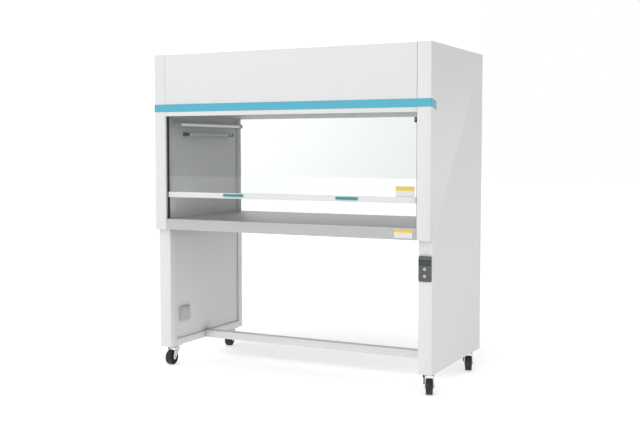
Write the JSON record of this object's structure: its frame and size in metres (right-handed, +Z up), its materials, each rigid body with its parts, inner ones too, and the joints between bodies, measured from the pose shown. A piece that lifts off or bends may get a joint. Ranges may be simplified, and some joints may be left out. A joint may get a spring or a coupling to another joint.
{
  "type": "clean bench",
  "caption": "Two-person clean bench on swivel castors: folded-steel cabinet, filtered blower head, stainless worktop, counterbalanced sliding sash and lamps.",
  "frame": {"origin": "on the floor, under the middle of the cabinet's footprint", "axes": "+Z up, -Y towards the user, +X to the user's right"},
  "size_m": [1.5, 0.74, 1.6],
  "materials": {
    "white_powder_coat": "satin powder coat",
    "cyan_trim": "satin",
    "teal_plastic": "satin",
    "stainless_worktop": "brushed",
    "galvanised_sheet": "galvanised",
    "sash_glazing": "clear",
    "rear_glazing": "clear",
    "guide_plastic": "satin",
    "belt_rubber": "matte",
    "bright_steel": "bright zinc",
    "filter_media": "matte",
    "lamp_batten": "satin",
    "led_lens": "opal",
    "uv_quartz": "clear",
    "panel_plastic": "fine grain",
    "display_window": "gloss",
    "button_plastic": "satin",
    "socket_plastic": "satin",
    "zinc_plate": "bright zinc",
    "castor_tyre": "matte",
    "brake_plastic": "satin"
  },
  "bodies": {
    "root": {"side_frame_left": "white_powder_coat", "side_frame_right": "white_powder_coat", "chamber_wall_left": "white_powder_coat", "chamber_wall_right": "white_powder_coat", "leg_liner_left": "white_powder_coat", "leg_liner_right": "white_powder_coat", "header_rail": "white_powder_coat", "upper_front_panel": "white_powder_coat", "stretcher_bar": "white_powder_coat", "rear_upper_panel": "white_powder_coat", "roof_cover": "white_powder_coat", "trim_band": "cyan_trim", "worktop": "stainless_worktop", "diffuser_plate": "galvanised_sheet", "blower_shelf": "galvanised_sheet", "blower_housing": "galvanised_sheet", "rear_glass": "rear_glazing", "sash_guide_left": "guide_plastic", "sash_guide_right": "guide_plastic", "blower_motor": "guide_plastic", "power_inlet": "guide_plastic", "sash_belt_left": "belt_rubber", "sash_belt_right": "belt_rubber", "hepa_filter": "filter_media", "pre_filter": "filter_media", "led_batten": "lamp_batten", "uv_batten": "lamp_batten", "led_tube": "led_lens", "uv_tube": "uv_quartz", "control_panel": "panel_plastic", "control_display": "display_window", "socket_body": "socket_plastic", "castor_front_left_plate": "zinc_plate", "castor_front_right_plate": "zinc_plate", "castor_rear_left_plate": "zinc_plate", "castor_rear_right_plate": "zinc_plate"},
    "sash": {"sash_glass": "sash_glazing", "sash_bottom_rail": "white_powder_coat", "sash_top_rail": "galvanised_sheet", "sash_grip_left": "teal_plastic", "sash_grip_right": "teal_plastic"},
    "counterweight": {"counterweight_bar": "galvanised_sheet"},
    "drive_shaft": {"sash_drive_shaft": "bright_steel"},
    "idler_shaft": {"sash_idler_shaft": "bright_steel"},
    "fan": {"blower_wheel": "galvanised_sheet"},
    "button_upper": {"control_button_upper": "button_plastic"},
    "button_lower": {"control_button_lower": "button_plastic"},
    "socket_cover": {"socket_flap": "socket_plastic"},
    "castor_front_left_swivel": {"castor_front_left_fork": "zinc_plate"},
    "castor_front_left_roll": {"castor_front_left_wheel": "castor_tyre"},
    "castor_front_left_pedal": {"castor_front_left_brake": "brake_plastic"},
    "castor_front_right_swivel": {"castor_front_right_fork": "zinc_plate"},
    "castor_front_right_roll": {"castor_front_right_wheel": "castor_tyre"},
    "castor_front_right_pedal": {"castor_front_right_brake": "brake_plastic"},
    "castor_rear_left_swivel": {"castor_rear_left_fork": "zinc_plate"},
    "castor_rear_left_roll": {"castor_rear_left_wheel": "castor_tyre"},
    "castor_rear_left_pedal": {"castor_rear_left_brake": "brake_plastic"},
    "castor_rear_right_swivel": {"castor_rear_right_fork": "zinc_plate"},
    "castor_rear_right_roll": {"castor_rear_right_wheel": "castor_tyre"},
    "castor_rear_right_pedal": {"castor_rear_right_brake": "brake_plastic"}
  },
  "joints": [
    {"name": "sash_slide", "type": "slide", "parent": "root", "child": "sash", "axis": [0, 0, 1], "range_m": [-0.109, 0.12]},
    {"name": "counterweight_slide", "type": "slide", "parent": "root", "child": "counterweight", "axis": [0, 0, 1], "range_m": [-0.12, 0.11]},
    {"name": "drive_shaft_turn", "type": "hinge", "parent": "root", "child": "drive_shaft", "pos_m": [0, -0.3152, 1.574], "axis": [1, 0, 0], "range_deg": [-345, 316]},
    {"name": "idler_shaft_turn", "type": "hinge", "parent": "root", "child": "idler_shaft", "pos_m": [0, -0.3152, 1.3175], "axis": [1, 0, 0], "range_deg": [-345, 316]},
    {"name": "fan_spin", "type": "hinge", "parent": "root", "child": "fan", "pos_m": [0, 0.05, 1.4848], "axis": [1, 0, 0], "continuous": true},
    {"name": "button_upper_press", "type": "slide", "parent": "root", "child": "button_upper", "axis": [0, 1, 0], "range_m": [0, 0.0015], "stiffness_N_per_m": 600},
    {"name": "button_lower_press", "type": "slide", "parent": "root", "child": "button_lower", "axis": [0, 1, 0], "range_m": [0, 0.0015], "stiffness_N_per_m": 600},
    {"name": "socket_flap_lift", "type": "hinge", "parent": "root", "child": "socket_cover", "pos_m": [-0.6757, -0.208, 0.289], "axis": [0, 1, 0], "range_deg": [-100, 0]},
    {"name": "castor_front_left_swivel_turn", "type": "hinge", "parent": "root", "child": "castor_front_left_swivel", "pos_m": [-0.711, -0.264, 0.09], "axis": [0, 0, 1], "continuous": true},
    {"name": "castor_front_left_wheel_roll", "type": "hinge", "parent": "castor_front_left_swivel", "child": "castor_front_left_roll", "pos_m": [-0.71145, -0.29, 0.0375], "axis": [0.9998, -0.0175, 0], "continuous": true},
    {"name": "castor_front_left_brake_press", "type": "hinge", "parent": "castor_front_left_swivel", "child": "castor_front_left_pedal", "pos_m": [-0.73524, -0.27758, 0.05], "axis": [0.9998, -0.0175, 0], "range_deg": [-15, 0]},
    {"name": "castor_front_right_swivel_turn", "type": "hinge", "parent": "root", "child": "castor_front_right_swivel", "pos_m": [0.711, -0.264, 0.09], "axis": [0, 0, 1], "continuous": true},
    {"name": "castor_front_right_wheel_roll", "type": "hinge", "parent": "castor_front_right_swivel", "child": "castor_front_right_roll", "pos_m": [0.71947, -0.28858, 0.0375], "axis": [0.9455, 0.3256, 0], "continuous": true},
    {"name": "castor_front_right_brake_press", "type": "hinge", "parent": "castor_front_right_swivel", "child": "castor_front_right_pedal", "pos_m": [0.69287, -0.28505, 0.05], "axis": [0.9455, 0.3256, 0], "range_deg": [-15, 0]},
    {"name": "castor_rear_left_swivel_turn", "type": "hinge", "parent": "root", "child": "castor_rear_left_swivel", "pos_m": [-0.711, 0.296, 0.09], "axis": [0, 0, 1], "continuous": true},
    {"name": "castor_rear_left_wheel_roll", "type": "hinge", "parent": "castor_rear_left_swivel", "child": "castor_rear_left_roll", "pos_m": [-0.70693, 0.27032, 0.0375], "axis": [0.9877, 0.1564, 0], "continuous": true},
    {"name": "castor_rear_left_brake_press", "type": "hinge", "parent": "castor_rear_left_swivel", "child": "castor_rear_left_pedal", "pos_m": [-0.73251, 0.27842, 0.05], "axis": [0.9877, 0.1564, 0], "range_deg": [-15, 0]},
    {"name": "castor_rear_right_swivel_turn", "type": "hinge", "parent": "root", "child": "castor_rear_right_swivel", "pos_m": [0.711, 0.296, 0.09], "axis": [0, 0, 1], "continuous": true},
    {"name": "castor_rear_right_wheel_roll", "type": "hinge", "parent": "castor_rear_right_swivel", "child": "castor_rear_right_roll", "pos_m": [0.72032, 0.27173, 0.0375], "axis": [0.9336, 0.3584, 0], "continuous": true},
    {"name": "castor_rear_right_brake_press", "type": "hinge", "parent": "castor_rear_right_swivel", "child": "castor_rear_right_pedal", "pos_m": [0.69361, 0.27433, 0.05], "axis": [0.9336, 0.3584, 0], "range_deg": [-15, 0]}
  ],
  "couplings": [
    {"joint": "counterweight_slide", "follows": "sash_slide", "ratio": -1},
    {"joint": "drive_shaft_turn", "follows": "sash_slide", "rad_per_m": -50},
    {"joint": "idler_shaft_turn", "follows": "sash_slide", "rad_per_m": -50}
  ]
}
